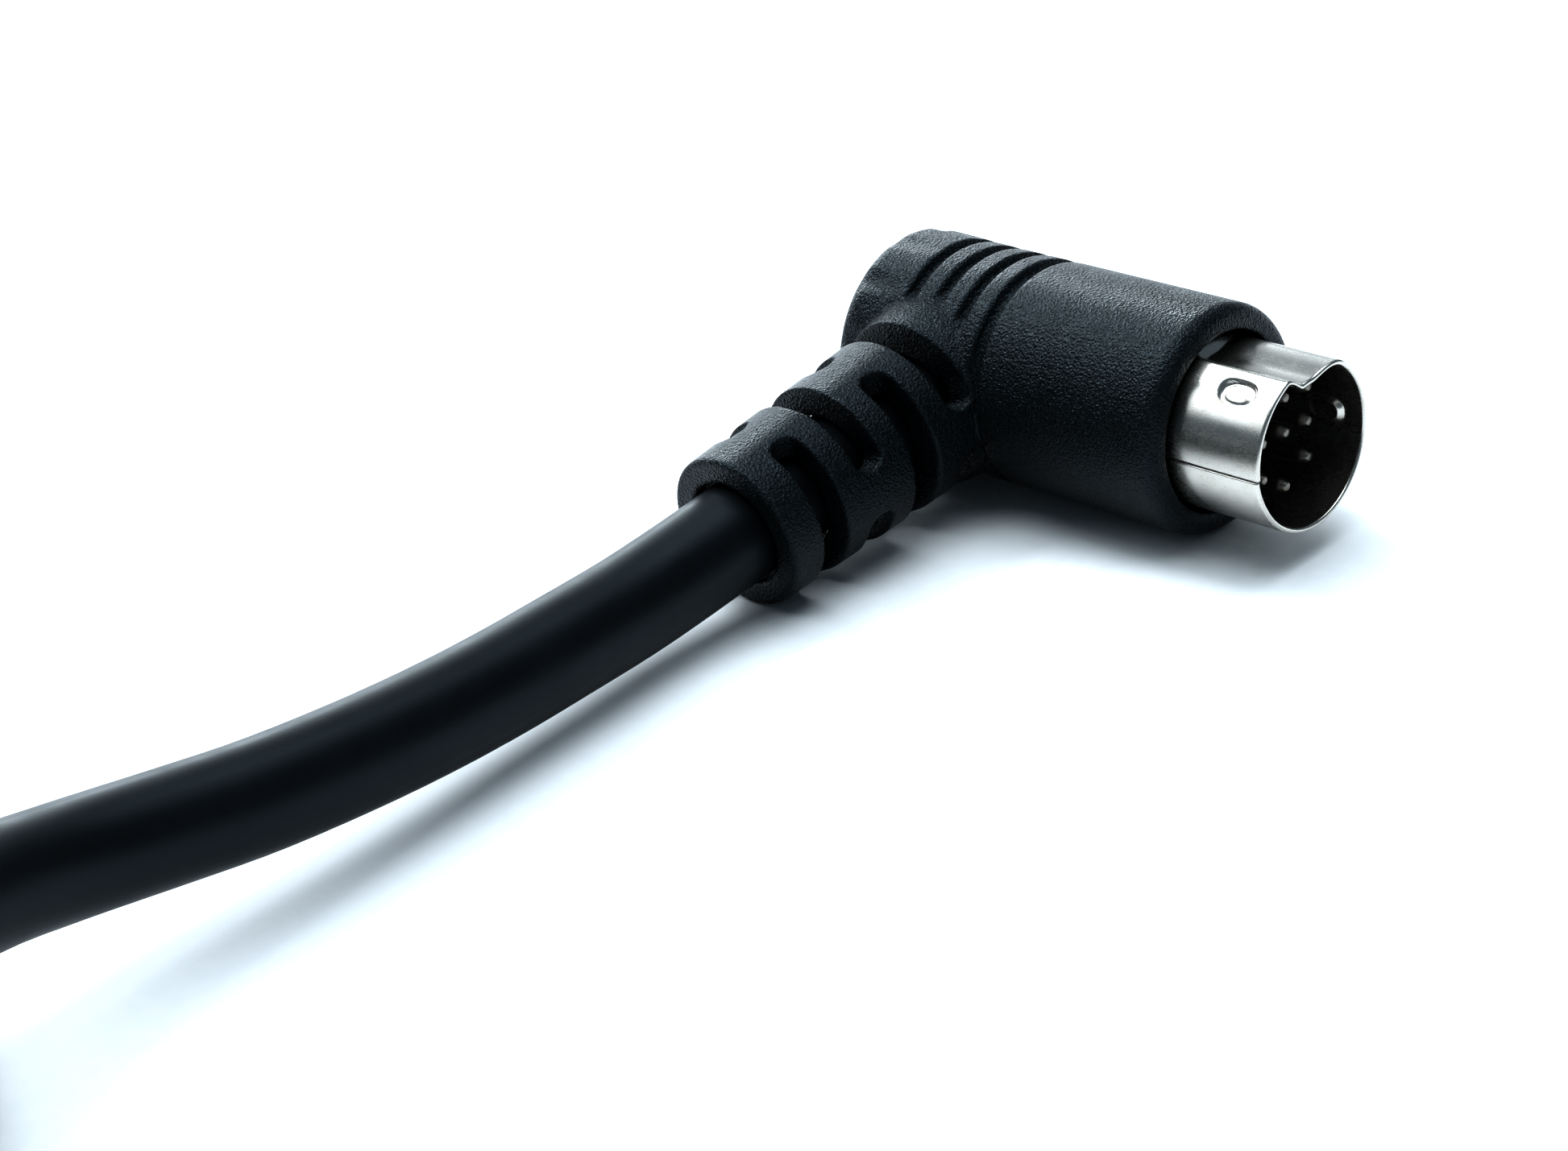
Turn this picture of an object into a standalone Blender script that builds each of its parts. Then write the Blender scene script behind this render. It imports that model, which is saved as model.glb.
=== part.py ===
"""Right-angle round signal plug, moulded on a cable that ends in a second plug of the same kind.

The plug's axis is +X at the near end and its cable leaves along -Y. Each plug is modelled once in its own
frame, whose origin is the elbow where the plug axis meets the cable axis, and is then set down twice: at the
near end, with the part's origin under the middle of its box, and at the far end, lying on the tied coil.
"""
import math

import bmesh
import bpy
import numpy as np
from mathutils import Matrix, Vector

# Driving dimensions in metres.
# Metal shell
SHELL_DIAMETER = 0.0095
SHELL_WALL = 0.0003
SHELL_REACH = 0.00575
SHELL_BURIED = 0.0064
SEAM_GAP = 0.00012
SEAM_ANGLE = math.radians(176)
KEY_GENTLE_SIDE = (math.radians(44), math.radians(82))
KEY_STEEP_SIDE = (math.radians(92), math.radians(107))
KEY_DEPTH = 0.00095
KEY_RUN = 0.0050
KEY_FADE = 0.0014
DIMPLE_ANGLES = (math.radians(122.5), math.radians(-8.5))
DIMPLE_SETBACK = 0.0025
DIMPLE_LENGTH = 0.0025
DIMPLE_WIDTH = 0.00165
DIMPLE_DEPTH = 0.0002

# Moulded body
BODY_DIAMETER = 0.0128
FRONT_FACE = 0.01725
FRONT_ROUND = 0.0008
REAR_LENGTH = 0.0057
REAR_ROUND = 0.0012
REAR_FLARE = 0.0001
REAR_WALL = 0.0008
GROOVES = 4
GROOVE_FIRST = -0.0013
GROOVE_PITCH = 0.0020
GROOVE_WIDTH = 0.0007
GROOVE_DEPTH = 0.0005
FLUTES = 12
FLUTE_RADIUS = 0.0014
FLUTE_DEPTH = 0.0003

# Strain relief boot, measured along the cable axis from the elbow
BOOT_LENGTH = 0.0206
BOOT_MOUTH_DIAMETER = 0.0089
BOOT_ROOT_DIAMETER = 0.0100
BOOT_EDGE = 0.0003
ROOT_FLARE = 0.00045
ROOT_FLARE_LENGTH = 0.0023
SLOT_ROWS = 4
SLOT_FIRST = 0.0068
SLOT_PITCH = 0.00355
SLOT_WIDTH = 0.00185
SLOT_ANGLE = math.radians(146)

# Contacts, set out round the plug axis: sideways and up, before the turn of the layout
CONTACT_PITCH = 0.00195
CONTACT_ROWS = (0.0023, 0.00033, -0.00172, -0.00275)
LAYOUT_TURN = math.radians(-10)
PIN_DIAMETER = 0.0008
PIN_TIP_DIAMETER = 0.0005
PIN_TIP_TAPER = 0.0004
PIN_SETBACK = 0.0017
CUP_DIAMETER = 0.0011
CUP_LENGTH = 0.0024
CUP_BORE = 0.0007
CUP_DEPTH = 0.0015
INSULATOR_SETBACK = 0.0068
INSULATOR_LENGTH = 0.0050

# Inside the moulding
CORE_DIAMETER = 0.0007
CORE_SQUEEZE = 0.50
CORE_BEND = 0.0026
INNER_WALL = 0.0008
FERRULE_LENGTH = 0.0020
FERRULE_WALL = 0.0003

# Cable, coil and tie
CABLE_DIAMETER = 0.0056
COIL_OUTER_RADIUS = 0.0379
COIL_SIDE_GAP = 0.0006
COIL_LAYER_GAP = 0.0005
COIL_CENTRE = (-0.0180, -0.1075)
TIE_WIDTH = 0.0080
TIE_THICKNESS = 0.0006
TIE_CORNER = 0.0020

# Clearances
CLEARANCE = 0.0003
PIN_CLEARANCE = 0.0002
BORE_CLEARANCE = 0.00025

# Facet counts
BODY_SIDES = 40
BOOT_SIDES = 32
SHELL_SIDES = 72
ROUND_STEPS = 3
PIN_SIDES = 8
SLOT_ARC_STEPS = 9
LOOP_POINTS = 24
FLUTE_SIDES = 12
DIMPLE_SEGMENTS = 10
DIMPLE_RINGS = 6
CORE_BEND_POINTS = 6
CURVE_STEPS = 20
LEAD_STEP = 1.6 * CABLE_DIAMETER
LEAD_BEVEL_STEPS = 3
COIL_BEVEL_STEPS = 1
CORE_BEVEL_STEPS = 1
WELD = 1e-7
SHARP_ANGLE = math.radians(35)

# Sizes that follow from the driving dimensions
SHELL_RADIUS = SHELL_DIAMETER / 2
SHELL_BORE_RADIUS = SHELL_RADIUS - SHELL_WALL
SHELL_TIP = FRONT_FACE + SHELL_REACH
SHELL_REAR = FRONT_FACE - SHELL_BURIED
BODY_RADIUS = BODY_DIAMETER / 2
REAR_RADIUS = BODY_RADIUS + REAR_FLARE
CAVITY_RADIUS = SHELL_RADIUS + CLEARANCE
CAVITY_REAR = -REAR_LENGTH + REAR_WALL
MOUTH_RADIUS = BOOT_MOUTH_DIAMETER / 2
ROOT_RADIUS = BOOT_ROOT_DIAMETER / 2
CABLE_RADIUS = CABLE_DIAMETER / 2
BORE_RADIUS = CABLE_RADIUS + BORE_CLEARANCE
PIN_TIP = SHELL_TIP - PIN_SETBACK
INSULATOR_FRONT = SHELL_TIP - INSULATOR_SETBACK
INSULATOR_REAR = INSULATOR_FRONT - INSULATOR_LENGTH
CUP_FRONT = INSULATOR_REAR - CLEARANCE
CUP_REAR = CUP_FRONT - CUP_LENGTH
INNER_FRONT = min(SHELL_REAR, INSULATOR_REAR) - CLEARANCE
INNER_REAR = CAVITY_REAR + CLEARANCE
INNER_BORE_RADIUS = SHELL_RADIUS - INNER_WALL
JACKET_END = CORE_BEND + 2 * CLEARANCE
FERRULE_END = JACKET_END + FERRULE_LENGTH
FERRULE_BORE_RADIUS = CABLE_RADIUS + BORE_CLEARANCE
FERRULE_RADIUS = FERRULE_BORE_RADIUS + FERRULE_WALL

# The plug rolls on its round body until the lower edge of the boot's mouth meets the surface
AXIS_HEIGHT = REAR_RADIUS
MOUTH_LEVER = math.hypot(BOOT_LENGTH, MOUTH_RADIUS)
DROOP = math.asin(AXIS_HEIGHT / MOUTH_LEVER) - math.atan2(MOUTH_RADIUS, BOOT_LENGTH)

# The part's origin is under the middle of the near plug's box
BOX_BACK = REAR_RADIUS
BOX_FRONT = BOOT_LENGTH * math.cos(DROOP) + MOUTH_RADIUS * math.sin(DROOP)
ELBOW = Vector(((REAR_LENGTH - SHELL_TIP) / 2, (BOX_FRONT - BOX_BACK) / 2, AXIS_HEIGHT))

# Coil levels and radii
COIL_PITCH = CABLE_DIAMETER + COIL_SIDE_GAP
LEVEL_STEP = CABLE_DIAMETER + COIL_LAYER_GAP
LOW_LEVEL = TIE_THICKNESS + CLEARANCE + CABLE_RADIUS
HIGH_LEVEL = LOW_LEVEL + LEVEL_STEP

# The coil's course in turns, clockwise from its +X side: where it starts and ends, and where it goes down,
# inwards, up, up again onto the top and out to the middle of the coil's width
COIL_START = -3 / LOOP_POINTS
COIL_END = 3 + 1 / LOOP_POINTS
FIRST_DROP = (0.575, 0.825)
INWARD_SHIFT = (1.30, 1.55)
FIRST_CLIMB = (2.06, 2.29)
TOP_CLIMB = (3.03, 3.25)
TOP_SHIFT = (3.25, 3.475)
FAR_LEAD_TURN = 3 + 10 / LOOP_POINTS
JOIN_TURN = CLEARANCE / (2 * math.pi * COIL_OUTER_RADIUS)
SETTLE_TURN = 0.0125

# Cable route between the near boot's mouth and the coil: plan place from the elbow, and height
NEAR_ROUTE = (
    (0.0003, -0.0310, 0.0039),
    (0.0007, -0.0385, 0.0041),
    (0.0010, -0.0460, 0.0047),
    (0.0008, -0.0540, 0.0056),
    (0.0002, -0.0620, 0.0069),
    (0.0012, -0.0690, 0.0086),
    (0.0040, -0.0754, 0.00975),
)

PART_NAME = "right_angle_plug_lead"
CORE_COLOURS = {
    "brown": "5a3420", "red": "a01c1c", "orange": "c8621a", "yellow": "cfae22", "green": "2e7a3a",
    "blue": "24509a", "violet": "5f3a86", "grey": "808488", "white": "d8d8d2",
}


def start_scene():
    """Empty the file and make one collection for the parts and one for the cutters."""
    for old in list(bpy.data.objects):
        bpy.data.objects.remove(old, do_unlink=True)
    groups = []
    for name in (PART_NAME, "cutters"):
        group = bpy.data.collections.new(name)
        bpy.context.scene.collection.children.link(group)
        groups.append(group)
    return groups


def linear(hex_colour):
    """Turn an sRGB hex colour into the linear values that a shader takes."""
    values = [int(hex_colour[i:i + 2], 16) / 255 for i in (0, 2, 4)]
    lit = [v / 12.92 if v <= 0.04045 else ((v + 0.055) / 1.055) ** 2.4 for v in values]
    return (*lit, 1.0)


def material(name, hex_colour, roughness, metallic=0.0):
    """A Principled material with one colour, roughness and metallic value."""
    made = bpy.data.materials.new(name)
    made.use_nodes = True
    shader = made.node_tree.nodes["Principled BSDF"]
    shader.inputs["Base Color"].default_value = linear(hex_colour)
    shader.inputs["Roughness"].default_value = roughness
    shader.inputs["Metallic"].default_value = metallic
    made.diffuse_color = linear(hex_colour)
    return made


def place(name, data, group, look=None, parent=None):
    """Add an object with this data to a collection."""
    made = bpy.data.objects.new(name, data)
    group.objects.link(made)
    made.parent = parent
    if look is not None:
        data.materials.clear()
        data.materials.append(look)
    return made


def as_cutter(obj):
    """Mark an object as a helper that isn't part of the model."""
    obj.hide_render = True
    obj.display_type = "WIRE"
    return obj


def baked(obj):
    """Return the evaluated mesh of a helper in world space, with doubles merged, and remove the helper."""
    bpy.context.view_layer.update()
    graph = bpy.context.evaluated_depsgraph_get()
    mesh = bpy.data.meshes.new_from_object(obj.evaluated_get(graph))
    mesh.transform(obj.matrix_world)
    work = bmesh.new()
    work.from_mesh(mesh)
    bmesh.ops.remove_doubles(work, verts=work.verts, dist=WELD)
    work.to_mesh(mesh)
    work.free()
    old = obj.data
    bpy.data.objects.remove(obj, do_unlink=True)
    if isinstance(old, bpy.types.Mesh):
        bpy.data.meshes.remove(old)
    else:
        bpy.data.curves.remove(old)
    return mesh


ALONG_PLUG = Matrix.Rotation(math.pi / 2, 4, "Y")
ALONG_CABLE = Matrix.Rotation(math.pi / 2, 4, "X")


def turned(name, profile, turn, sides):
    """Turn a profile of (height, radius) points, from the top, and lay its axis along the plug or cable."""
    mesh = bpy.data.meshes.new(name)
    points = [(radius, 0.0, height) for height, radius in profile]
    closed = profile[0][1] > 0
    edges = [(i, i + 1) for i in range(len(points) - 1)]
    if closed:
        edges.append((len(points) - 1, 0))
    mesh.from_pydata(points, edges, [])
    obj = place(name, mesh, CUTTERS)
    screw = obj.modifiers.new("turn", "SCREW")
    screw.axis = "Z"
    screw.steps = sides
    screw.render_steps = sides
    screw.use_merge_vertices = True
    screw.merge_threshold = WELD
    screw.use_smooth_shade = False
    obj.matrix_world = turn @ Matrix.Rotation(math.pi / sides, 4, "Z")
    return obj


def rod(name, bottom, top, radius, turn, sides):
    """A plain round bar between two heights."""
    return turned(name, [(top, 0.0), (top, radius), (bottom, radius), (bottom, 0.0)], turn, sides)


def cut(obj, cutter, operation="DIFFERENCE"):
    """Cut or join one helper with another, and return the helper with the result baked in."""
    boolean = obj.modifiers.new(operation.lower(), "BOOLEAN")
    boolean.operation = operation
    boolean.solver = "EXACT"
    boolean.object = as_cutter(cutter)
    name = obj.name
    mesh = baked(obj)
    mesh.name = name
    baked_cutter = cutter.data
    bpy.data.objects.remove(cutter, do_unlink=True)
    if isinstance(baked_cutter, bpy.types.Mesh):
        bpy.data.meshes.remove(baked_cutter)
    return place(name, mesh, CUTTERS)


def eased(value, span):
    """A smooth step from 0 at a span's start to 1 at its end."""
    t = np.clip((value - span[0]) / (span[1] - span[0]), 0, 1)
    return t * t * (3 - 2 * t)


def arc(centre, radius, start, end, steps):
    """Points on an arc, in degrees, as (height, radius) pairs about a centre given the same way."""
    angles = np.radians(np.linspace(start, end, steps + 1))
    return [(centre[0] + radius * math.sin(a), centre[1] + radius * math.cos(a)) for a in angles]


def groove_profile(middle, radius):
    """A round-bottomed groove round the body, from its front lip to its rear lip."""
    half = GROOVE_WIDTH / 2
    angles = np.linspace(0, math.pi, ROUND_STEPS + 2)
    return [(middle + half * math.cos(a), radius - GROOVE_DEPTH * math.sin(a)) for a in angles]


def body_blank():
    """The round body, turned: front face, grooves and the rounded rear end."""
    profile = [(FRONT_FACE, 0.0)]
    profile += arc((FRONT_FACE - FRONT_ROUND, BODY_RADIUS - FRONT_ROUND), FRONT_ROUND, 90, 0, ROUND_STEPS)
    for i in reversed(range(GROOVES)):
        profile += groove_profile(GROOVE_FIRST + i * GROOVE_PITCH, BODY_RADIUS)
    profile += arc((-REAR_LENGTH + REAR_ROUND, REAR_RADIUS - REAR_ROUND), REAR_ROUND, 0, -90, ROUND_STEPS)
    profile.append((-REAR_LENGTH, 0.0))
    return turned("overmould", profile, ALONG_PLUG, BODY_SIDES)


def boot_blank():
    """The tapered boot, turned about the cable axis, with its root flared where it leaves the body."""
    root_height = BODY_RADIUS - ROOT_FLARE / 2
    profile = [
        (BOOT_LENGTH, 0.0),
        (BOOT_LENGTH, MOUTH_RADIUS - BOOT_EDGE),
        (BOOT_LENGTH - BOOT_EDGE, MOUTH_RADIUS),
        (root_height, ROOT_RADIUS),
        (root_height - ROOT_FLARE_LENGTH, ROOT_RADIUS + ROOT_FLARE),
        (root_height - 2 * ROOT_FLARE_LENGTH, ROOT_RADIUS + ROOT_FLARE),
        (root_height - 2 * ROOT_FLARE_LENGTH, 0.0),
    ]
    return turned("boot", profile, ALONG_CABLE, BOOT_SIDES)


def slot_cutter(row, side):
    """A slot right through the boot's wall: a ring sector with edges rounded to the slot's half width."""
    half_width = SLOT_WIDTH / 2
    inner = BORE_RADIUS - half_width
    outer = ROOT_RADIUS + ROOT_FLARE + half_width
    mid_angle = math.pi / 2 + math.pi * side if row % 2 == 0 else math.pi * side
    end_inset = half_width / ROOT_RADIUS
    sweep = SLOT_ANGLE / 2 - end_inset
    angles = np.linspace(mid_angle - sweep, mid_angle + sweep, SLOT_ARC_STEPS)
    outline = [(outer * math.cos(a), outer * math.sin(a)) for a in angles]
    outline += [(inner * math.cos(a), inner * math.sin(a)) for a in reversed(angles)]
    curve = bpy.data.curves.new("slot", "CURVE")
    curve.dimensions = "2D"
    curve.fill_mode = "BOTH"
    curve.bevel_depth = half_width
    curve.bevel_resolution = 1
    spline = curve.splines.new("POLY")
    spline.points.add(len(outline) - 1)
    for point, (x, y) in zip(spline.points, outline):
        point.co = (x, y, 0.0, 1.0)
    spline.use_cyclic_u = True
    height = SLOT_FIRST + row * SLOT_PITCH
    obj = place("slot", curve, CUTTERS)
    obj.matrix_world = ALONG_CABLE @ Matrix.Translation((0, 0, height))
    return place("slot", baked(obj), CUTTERS)


def flute_cutter():
    """Round flutes across the rear rim, each tipped so that it runs out before the first groove."""
    work = bmesh.new()
    run = REAR_LENGTH + GROOVE_FIRST - GROOVE_WIDTH
    tip = math.atan2(FLUTE_DEPTH, run)
    for i in range(FLUTES):
        turn = Matrix.Rotation(2 * math.pi * i / FLUTES, 4, "X")
        out = Matrix.Translation((-REAR_LENGTH, 0, REAR_RADIUS + FLUTE_RADIUS - FLUTE_DEPTH))
        lean = Matrix.Rotation(math.pi / 2 - tip, 4, "Y")
        bmesh.ops.create_cone(work, cap_ends=True, segments=FLUTE_SIDES, radius1=FLUTE_RADIUS,
                              radius2=FLUTE_RADIUS, depth=2 * run, matrix=turn @ out @ lean)
    mesh = bpy.data.meshes.new("flutes")
    work.to_mesh(mesh)
    work.free()
    return place("flutes", mesh, CUTTERS)


def overmould_mesh():
    """The outer moulding: body and boot in one piece, hollow inside, with its slots and flutes."""
    obj = cut(body_blank(), flute_cutter())
    obj = cut(obj, boot_blank(), "UNION")
    obj = cut(obj, rod("cavity", CAVITY_REAR, FRONT_FACE + SHELL_REACH, CAVITY_RADIUS,
                       ALONG_PLUG, BODY_SIDES))
    obj = cut(obj, rod("bore", 0.0, 2 * BOOT_LENGTH, BORE_RADIUS, ALONG_CABLE, BOOT_SIDES))
    obj = cut(obj, rod("ferrule_seat", 0.0, FERRULE_END + CLEARANCE, FERRULE_RADIUS + CLEARANCE,
                       ALONG_CABLE, BOOT_SIDES))
    for row in range(SLOT_ROWS):
        for side in (0, 1):
            obj = cut(obj, slot_cutter(row, side))
    return baked(obj)


def dented_radius(angle, setback):
    """Outer radius of the rolled shell: round, but pressed in along a key that has one steep side."""
    across = eased(angle, KEY_GENTLE_SIDE) * (1 - eased(angle, KEY_STEEP_SIDE))
    along = 1 - eased(setback, (KEY_RUN, KEY_RUN + KEY_FADE))
    return SHELL_RADIUS - KEY_DEPTH * across * along


def shell_sheet():
    """The shell before its dimples: one sheet rolled round to a butt seam, with a wall from Solidify."""
    gap = SEAM_GAP / SHELL_RADIUS
    angles = np.linspace(SEAM_ANGLE + gap / 2, SEAM_ANGLE + 2 * math.pi - gap / 2, SHELL_SIDES + 1)
    setbacks = np.array((SHELL_TIP - SHELL_REAR, KEY_RUN + KEY_FADE, KEY_RUN + KEY_FADE / 2, KEY_RUN, 0.0))
    radius = dented_radius(angles[None, :] % (2 * math.pi), setbacks[:, None])
    places = np.stack([np.broadcast_to(SHELL_TIP - setbacks[:, None], radius.shape),
                       radius * np.cos(angles), radius * np.sin(angles)], axis=-1)
    rows, columns = radius.shape
    faces = []
    for i in range(rows - 1):
        for j in range(columns - 1):
            a = i * columns + j
            faces.append((a, a + 1, a + columns + 1, a + columns))
    mesh = bpy.data.meshes.new("shell")
    mesh.from_pydata(places.reshape(-1, 3).tolist(), [], faces)
    obj = place("shell", mesh, CUTTERS)
    wall = obj.modifiers.new("wall", "SOLIDIFY")
    wall.thickness = SHELL_WALL
    wall.offset = -1
    return place("shell", baked(obj), CUTTERS)


def dimple(name, angle, radius, depth, spread):
    """A flattened ball at one dimple, standing across the shell's wall."""
    work = bmesh.new()
    turn = Matrix.Rotation(angle, 4, "X")
    out = Matrix.Translation((SHELL_TIP - DIMPLE_SETBACK, radius, 0))
    size = Matrix.Diagonal((DIMPLE_LENGTH / 2 + spread, depth, DIMPLE_WIDTH / 2 + spread, 1))
    bmesh.ops.create_uvsphere(work, u_segments=DIMPLE_SEGMENTS, v_segments=DIMPLE_RINGS, radius=1.0,
                              matrix=turn @ out @ size)
    mesh = bpy.data.meshes.new(name)
    work.to_mesh(mesh)
    work.free()
    return place(name, mesh, CUTTERS)


def shell_mesh():
    """The rolled shell with its two pressed dimples: a recess outside and a bump inside."""
    obj = shell_sheet()
    for angle in DIMPLE_ANGLES:
        obj = cut(obj, dimple("bump", angle, SHELL_BORE_RADIUS, DIMPLE_DEPTH, SHELL_WALL / 3), "UNION")
    for angle in DIMPLE_ANGLES:
        obj = cut(obj, dimple("press", angle, SHELL_RADIUS, DIMPLE_DEPTH, 0.0))
    return baked(obj)


def contact_places():
    """Where the nine contacts stand: two rows of three, a pair and a single one, turned with the layout."""
    top, middle, lower, bottom = CONTACT_ROWS
    flat = [(step * CONTACT_PITCH, height) for height in (top, middle) for step in (-1, 0, 1)]
    flat += [(step * CONTACT_PITCH, lower) for step in (-1, 1)]
    flat.append((0.0, bottom))
    c, s = math.cos(LAYOUT_TURN), math.sin(LAYOUT_TURN)
    return [(c * y - s * z, s * y + c * z) for y, z in flat]


def pin_mesh():
    """A turned contact pin on the plug axis, with a tapered tip and a hollow solder cup behind."""
    pin, cup, hollow = PIN_DIAMETER / 2, CUP_DIAMETER / 2, CUP_BORE / 2
    profile = [
        (PIN_TIP, 0.0),
        (PIN_TIP, PIN_TIP_DIAMETER / 2),
        (PIN_TIP - PIN_TIP_TAPER, pin),
        (CUP_FRONT, pin),
        (CUP_FRONT, cup),
        (CUP_REAR, cup),
        (CUP_REAR, hollow),
        (CUP_REAR + CUP_DEPTH, hollow),
        (CUP_REAR + CUP_DEPTH, 0.0),
    ]
    return baked(turned("pin", profile, ALONG_PLUG, PIN_SIDES))


def insulator_mesh():
    """The contact carrier: a disc that fills the shell behind the pins, with a hole for each contact."""
    obj = rod("insulator", INSULATOR_REAR, INSULATOR_FRONT, SHELL_BORE_RADIUS - CLEARANCE,
              ALONG_PLUG, BODY_SIDES)
    for y, z in contact_places():
        hole = rod("hole", INSULATOR_REAR - CLEARANCE, INSULATOR_FRONT + CLEARANCE,
                   PIN_DIAMETER / 2 + PIN_CLEARANCE, ALONG_PLUG, PIN_SIDES)
        hole.matrix_world = Matrix.Translation((0, y, z)) @ hole.matrix_world
        obj = cut(obj, hole)
    return baked(obj)


def inner_mould_mesh():
    """The first moulding round the joints: a cup open to the contacts, with a side hole for the cable."""
    obj = rod("inner_mould", INNER_REAR, INNER_FRONT, SHELL_RADIUS, ALONG_PLUG, BODY_SIDES)
    obj = cut(obj, rod("room", INNER_REAR + INNER_WALL, INNER_FRONT + CLEARANCE, INNER_BORE_RADIUS,
                       ALONG_PLUG, BODY_SIDES))
    obj = cut(obj, rod("side_hole", 0.0, 2 * SHELL_RADIUS, FERRULE_RADIUS + CLEARANCE,
                       ALONG_CABLE, BOOT_SIDES))
    return baked(obj)


def ferrule_mesh():
    """The crimped sleeve that holds the screen and the jacket's end."""
    profile = [(FERRULE_END, FERRULE_BORE_RADIUS), (FERRULE_END, FERRULE_RADIUS),
               (JACKET_END, FERRULE_RADIUS), (JACKET_END, FERRULE_BORE_RADIUS)]
    return baked(turned("ferrule", profile, ALONG_CABLE, BOOT_SIDES // 2))


def tube(name, points, radius, resolution):
    """A round tube with closed ends along straight steps between points."""
    curve = bpy.data.curves.new(name, "CURVE")
    curve.dimensions = "3D"
    curve.bevel_depth = radius
    curve.bevel_resolution = resolution
    curve.use_fill_caps = True
    spline = curve.splines.new("POLY")
    spline.points.add(len(points) - 1)
    for point, co in zip(spline.points, points):
        point.co = (*co, 1.0)
    return baked(place(name, curve, CUTTERS))


def core_mesh(y, z):
    """One insulated core: drawn in behind its solder cup, then bent round into the end of the jacket."""
    y_in, z_in = y * CORE_SQUEEZE, z * CORE_SQUEEZE
    bend = CORE_BEND + y_in
    start = CUP_REAR - CLEARANCE
    points = [(start, y, z), (start - CORE_DIAMETER, y, z)]
    for a in np.linspace(0, math.pi / 2, CORE_BEND_POINTS):
        points.append((CORE_BEND - bend * math.sin(a), bend * math.cos(a) - CORE_BEND, z_in))
    points.append((CORE_BEND - bend, CLEARANCE - JACKET_END, z_in))
    return tube("core", points, CORE_DIAMETER / 2, CORE_BEVEL_STEPS)


def plug_pieces():
    """Every piece of one plug in the elbow's frame: name, mesh and material."""
    pvc = material("black_moulded_pvc", "17181b", 0.5)
    pieces = [
        ("overmould", overmould_mesh(), pvc),
        ("inner_mould", inner_mould_mesh(), material("natural_polyethylene", "cfcabd", 0.5)),
        ("shell", shell_mesh(), material("nickel_plated_steel", "b9b4ab", 0.25, 1.0)),
        ("contact_carrier", insulator_mesh(), material("black_pbt", "1b1c1e", 0.45)),
        ("crimp_ferrule", ferrule_mesh(), material("tinned_brass", "b8b8b4", 0.35, 1.0)),
    ]
    brass = material("plated_contact_brass", "c9c2ae", 0.25, 1.0)
    pin = pin_mesh()
    for number, (place_yz, colour) in enumerate(zip(contact_places(), CORE_COLOURS), start=1):
        own = pin.copy()
        own.transform(Matrix.Translation((0, *place_yz)))
        pieces.append((f"contact_pin_{number}", own, brass))
        look = material(f"core_{colour}", CORE_COLOURS[colour], 0.5)
        pieces.append((f"core_{number}", core_mesh(*place_yz), look))
    bpy.data.meshes.remove(pin)
    return pieces


def set_down(end, pieces, place_matrix):
    """Stand one plug's pieces under an empty at their place."""
    empty = bpy.data.objects.new(f"{end}_plug", None)
    PARTS.objects.link(empty)
    empty.matrix_world = place_matrix
    for name, mesh, look in pieces:
        own = mesh.copy()
        place(f"{end}_{name}", own, PARTS, look, empty)


def plug_place(elbow, facing):
    """World matrix of a plug: its elbow's place, the way its axis faces, and its roll onto the boot."""
    return Matrix.Translation(elbow) @ Matrix.Rotation(facing, 4, "Z") @ Matrix.Rotation(DROOP, 4, "X")


def smooth_points(route, spacing):
    """Points at about even steps on a smooth curve through the route (a Catmull-Rom curve)."""
    route = np.array(route)
    padded = np.vstack([2 * route[0] - route[1], route, 2 * route[-1] - route[-2]])
    t = np.linspace(0, 1, CURVE_STEPS, endpoint=False)[:, None]
    dense = []
    for p0, p1, p2, p3 in zip(padded, padded[1:], padded[2:], padded[3:]):
        dense.append(0.5 * (2 * p1 + (p2 - p0) * t + (2 * p0 - 5 * p1 + 4 * p2 - p3) * t ** 2
                            + (3 * p1 - p0 - 3 * p2 + p3) * t ** 3))
    dense = np.vstack([*dense, route[-1:]])
    length = np.concatenate(([0.0], np.cumsum(np.linalg.norm(np.diff(dense, axis=0), axis=1))))
    wanted = np.linspace(0, length[-1], max(2, round(length[-1] / spacing) + 1))
    return np.stack([np.interp(wanted, length, dense[:, k]) for k in range(3)], axis=-1)


def coil_course(turns, centre):
    """Places on the cable's course: outer turn above, outer below, inner below, inner above, then the top."""
    turns = np.asarray(turns)
    radius = COIL_OUTER_RADIUS - COIL_PITCH * (eased(turns, INWARD_SHIFT) - eased(turns, TOP_SHIFT) / 2)
    rise = eased(turns, FIRST_CLIMB) + eased(turns, TOP_CLIMB) - eased(turns, FIRST_DROP)
    angle = 2 * math.pi * turns
    return np.stack([centre[0] + radius * np.cos(angle), centre[1] - radius * np.sin(angle),
                     HIGH_LEVEL + LEVEL_STEP * rise], axis=-1)


def least_gap(points):
    """Least clear distance between two stretches of the cable that aren't neighbours along it."""
    steps = np.linspace(0, 1, 4, endpoint=False)[:, None, None]
    fine = (points[:-1] + steps * (points[1:] - points[:-1])).transpose(1, 0, 2).reshape(-1, 3)
    apart = np.linalg.norm(fine[:, None, :] - fine[None, :, :], axis=-1)
    far_along = np.abs(np.subtract.outer(np.arange(len(fine)), np.arange(len(fine)))) > 2 * LOOP_POINTS
    return apart[far_along].min() - CABLE_DIAMETER


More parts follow.
